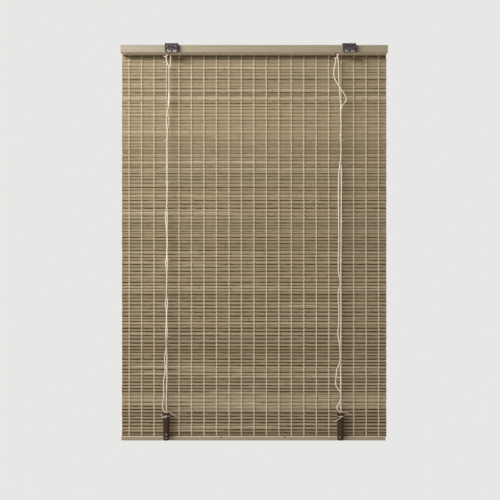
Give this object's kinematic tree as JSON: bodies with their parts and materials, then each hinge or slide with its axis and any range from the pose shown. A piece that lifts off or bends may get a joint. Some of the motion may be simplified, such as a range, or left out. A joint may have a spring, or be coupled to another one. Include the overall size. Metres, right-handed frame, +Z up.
{
  "type": "bamboo roman blind",
  "caption": "Roman blind of split-bamboo slats tied with warp threads under a wooden head rail on wall clips; pulling the toggled cords folds it up in pleats.",
  "frame": {"origin": "centre of the pattern of screw holes in the two wall clips, on the wall plane", "axes": "+Z up, +X to the viewer's right, +Y into the wall, so the blind's face looks along -Y"},
  "size_m": [0.6006, 0.0488, 0.8928],
  "materials": {
    "rail_wood": "smooth, clear lacquer",
    "bar_wood": "smooth, clear lacquer",
    "bamboo": "dry split bamboo, matt",
    "warp_thread": "twisted cotton",
    "cord": "braided cotton",
    "toggle_wood": "dark stain, satin",
    "clip_steel": "dark burnished",
    "lip_steel": "bright zinc",
    "rivet_steel": "dull zinc",
    "nail_steel": "plain",
    "eyelet_brass": "satin",
    "pin_plastic": "natural nylon",
    "ring_plastic": "ivory"
  },
  "bodies": {
    "root": {"head_batten": "rail_wood", "hanging_cleat": "rail_wood", "cleat_nails": "nail_steel", "cord_eyelets": "eyelet_brass", "guide_pins": "pin_plastic", "bracket_left": "clip_steel", "bracket_right": "clip_steel", "spring_lip_left": "lip_steel", "spring_lip_right": "lip_steel", "bracket_rivets": "rivet_steel", "left_cord_in_rail": "cord", "right_cord_in_rail": "cord", "left_lift_cord": "cord", "right_lift_cord": "cord"},
    "panel_1": {"slats_1": "bamboo", "threads_1": "warp_thread"},
    "panel_2": {"slats_2": "bamboo", "threads_2": "warp_thread"},
    "panel_3": {"slats_3": "bamboo", "threads_3": "warp_thread", "lift_rings_3": "ring_plastic"},
    "panel_4": {"slats_4": "bamboo", "threads_4": "warp_thread"},
    "panel_5": {"slats_5": "bamboo", "threads_5": "warp_thread", "lift_rings_5": "ring_plastic"},
    "panel_6": {"slats_6": "bamboo", "threads_6": "warp_thread"},
    "panel_7": {"slats_7": "bamboo", "threads_7": "warp_thread", "lift_rings_7": "ring_plastic"},
    "panel_8": {"slats_8": "bamboo", "threads_8": "warp_thread"},
    "skirt": {"slats_skirt": "bamboo", "threads_skirt": "warp_thread", "lift_rings_skirt": "ring_plastic", "bottom_bar": "bar_wood"},
    "left_cord_top": {"left_knot": "cord", "left_strand_a_top": "cord", "left_strand_b_top": "cord"},
    "left_cord_drop": {"left_strand_a_drop": "cord", "left_strand_b_drop": "cord"},
    "left_pull": {"left_toggle": "toggle_wood"},
    "right_cord_top": {"right_knot": "cord", "right_strand_a_top": "cord", "right_strand_b_top": "cord"},
    "right_cord_drop": {"right_strand_a_drop": "cord", "right_strand_b_drop": "cord"},
    "right_pull": {"right_toggle": "toggle_wood"}
  },
  "joints": [
    {"name": "fold", "type": "hinge", "parent": "root", "child": "panel_1", "pos_m": [-0.0139, -0.0175, -0.0115], "axis": [-1, 0, 0], "range_deg": [0, 80], "deforming": ["left_lift_cord", "right_lift_cord"]},
    {"name": "seam_2", "type": "hinge", "parent": "panel_1", "child": "panel_2", "pos_m": [-0.0139, -0.0145, -0.11069], "axis": [-1, 0, 0], "range_deg": [-160.5, 0]},
    {"name": "seam_3", "type": "hinge", "parent": "panel_2", "child": "panel_3", "pos_m": [-0.0139, -0.0175, -0.20988], "axis": [-1, 0, 0], "range_deg": [0, 160.5]},
    {"name": "seam_4", "type": "hinge", "parent": "panel_3", "child": "panel_4", "pos_m": [-0.0139, -0.0145, -0.30907], "axis": [-1, 0, 0], "range_deg": [-160.5, 0]},
    {"name": "seam_5", "type": "hinge", "parent": "panel_4", "child": "panel_5", "pos_m": [-0.0139, -0.0175, -0.40826], "axis": [-1, 0, 0], "range_deg": [0, 160.5]},
    {"name": "seam_6", "type": "hinge", "parent": "panel_5", "child": "panel_6", "pos_m": [-0.0139, -0.0145, -0.50745], "axis": [-1, 0, 0], "range_deg": [-160.5, 0]},
    {"name": "seam_7", "type": "hinge", "parent": "panel_6", "child": "panel_7", "pos_m": [-0.0139, -0.0175, -0.60664], "axis": [-1, 0, 0], "range_deg": [0, 160.5]},
    {"name": "seam_8", "type": "hinge", "parent": "panel_7", "child": "panel_8", "pos_m": [-0.0139, -0.0145, -0.70583], "axis": [-1, 0, 0], "range_deg": [-160.5, 0]},
    {"name": "skirt_seam", "type": "hinge", "parent": "panel_8", "child": "skirt", "pos_m": [-0.0139, -0.0175, -0.80502], "axis": [-1, 0, 0], "range_deg": [0, 80.5]},
    {"name": "left_cord_swing", "type": "hinge", "parent": "root", "child": "left_cord_top", "pos_m": [-0.2069, -0.0325, -0.011], "axis": [-1, 0, 0], "range_deg": [0, 80.5]},
    {"name": "left_cord_hang", "type": "hinge", "parent": "left_cord_top", "child": "left_cord_drop", "pos_m": [-0.2069, -0.0325, -0.11019], "axis": [-1, 0, 0], "range_deg": [-80.5, 0]},
    {"name": "left_pull_slide", "type": "slide", "parent": "left_cord_drop", "child": "left_pull", "axis": [0, 0, -1], "range_m": [0, 0.6341], "deforming": ["left_strand_a_drop", "left_strand_b_drop"]},
    {"name": "right_cord_swing", "type": "hinge", "parent": "root", "child": "right_cord_top", "pos_m": [0.1708, -0.0325, -0.011], "axis": [-1, 0, 0], "range_deg": [0, 80.5]},
    {"name": "right_cord_hang", "type": "hinge", "parent": "right_cord_top", "child": "right_cord_drop", "pos_m": [0.1708, -0.0325, -0.11019], "axis": [-1, 0, 0], "range_deg": [-80.5, 0]},
    {"name": "right_pull_slide", "type": "slide", "parent": "right_cord_drop", "child": "right_pull", "axis": [0, 0, -1], "range_m": [0, 0.6341], "deforming": ["right_strand_a_drop", "right_strand_b_drop"]}
  ],
  "couplings": [
    {"joint": "seam_2", "follows": "fold", "ratio": -2},
    {"joint": "seam_3", "follows": "fold", "ratio": 2},
    {"joint": "seam_4", "follows": "fold", "ratio": -2},
    {"joint": "seam_5", "follows": "fold", "ratio": 2},
    {"joint": "seam_6", "follows": "fold", "ratio": -2},
    {"joint": "seam_7", "follows": "fold", "ratio": 2},
    {"joint": "seam_8", "follows": "fold", "ratio": -2},
    {"joint": "skirt_seam", "follows": "fold", "ratio": 1},
    {"joint": "left_cord_swing", "follows": "fold", "ratio": 1},
    {"joint": "left_cord_hang", "follows": "fold", "ratio": -1},
    {"joint": "left_pull_slide", "follows": "fold", "m_per_rad": 0.4527},
    {"joint": "right_cord_swing", "follows": "fold", "ratio": 1},
    {"joint": "right_cord_hang", "follows": "fold", "ratio": -1},
    {"joint": "right_pull_slide", "follows": "fold", "m_per_rad": 0.4527}
  ]
}
